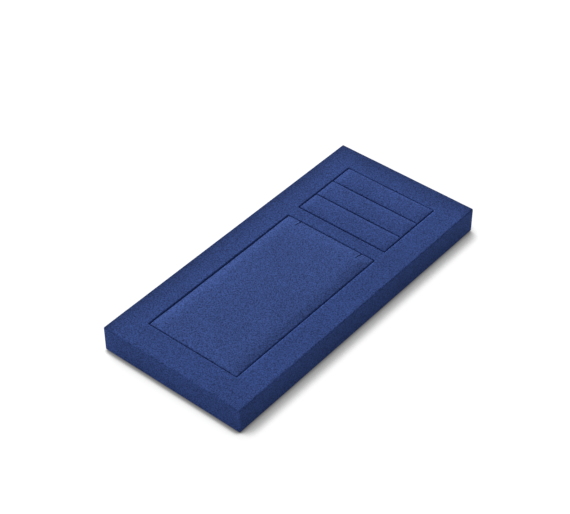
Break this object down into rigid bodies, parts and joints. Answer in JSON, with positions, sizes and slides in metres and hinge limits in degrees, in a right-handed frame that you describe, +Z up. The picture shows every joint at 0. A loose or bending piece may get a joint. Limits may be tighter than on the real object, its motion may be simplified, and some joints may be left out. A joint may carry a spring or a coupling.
{
  "type": "jewelry tray",
  "caption": "Low rectangular fabric-wrapped jewelry display tray with a lift-out padded necklace insert, slit at its edge, and a lift-out padded ring insert with slots between its bars.",
  "frame": {"origin": "middle of the underside, on the surface that the tray stands on", "axes": "+X across the tray's width, +Y along its length towards the ring end, +Z up"},
  "size_m": [0.116, 0.25, 0.0206],
  "materials": {
    "blue_microfibre": "matte",
    "lining_felt": "matte",
    "fibreboard": "matte",
    "greyboard": "matte",
    "foam": "matte"
  },
  "bodies": {
    "tray": {"underside_lining": "lining_felt", "base_board": "fibreboard", "left_rail": "fibreboard", "right_rail": "fibreboard", "front_rail": "fibreboard", "cross_rail": "fibreboard", "rear_rail": "fibreboard", "frame_wrap": "blue_microfibre", "necklace_well_floor": "blue_microfibre", "ring_well_floor": "blue_microfibre"},
    "necklace_pad": {"necklace_pad_left_wall": "fibreboard", "necklace_pad_right_wall": "fibreboard", "necklace_pad_front_wall": "fibreboard", "necklace_pad_rear_wall": "fibreboard", "necklace_pad_deck": "fibreboard", "necklace_pad_foam": "foam", "necklace_pad_cover": "blue_microfibre"},
    "ring_pad": {"ring_pad_card": "greyboard", "ring_bar_core_front": "foam", "ring_bar_cover_front": "blue_microfibre", "ring_bar_core_middle": "foam", "ring_bar_cover_middle": "blue_microfibre", "ring_bar_core_rear": "foam", "ring_bar_cover_rear": "blue_microfibre"}
  },
  "joints": [
    {"name": "necklace_pad_lift", "type": "slide", "parent": "tray", "child": "necklace_pad", "axis": [0, 0, 1], "range_m": [0, 0.03]},
    {"name": "ring_pad_lift", "type": "slide", "parent": "tray", "child": "ring_pad", "axis": [0, 0, 1], "range_m": [0, 0.03]}
  ]
}
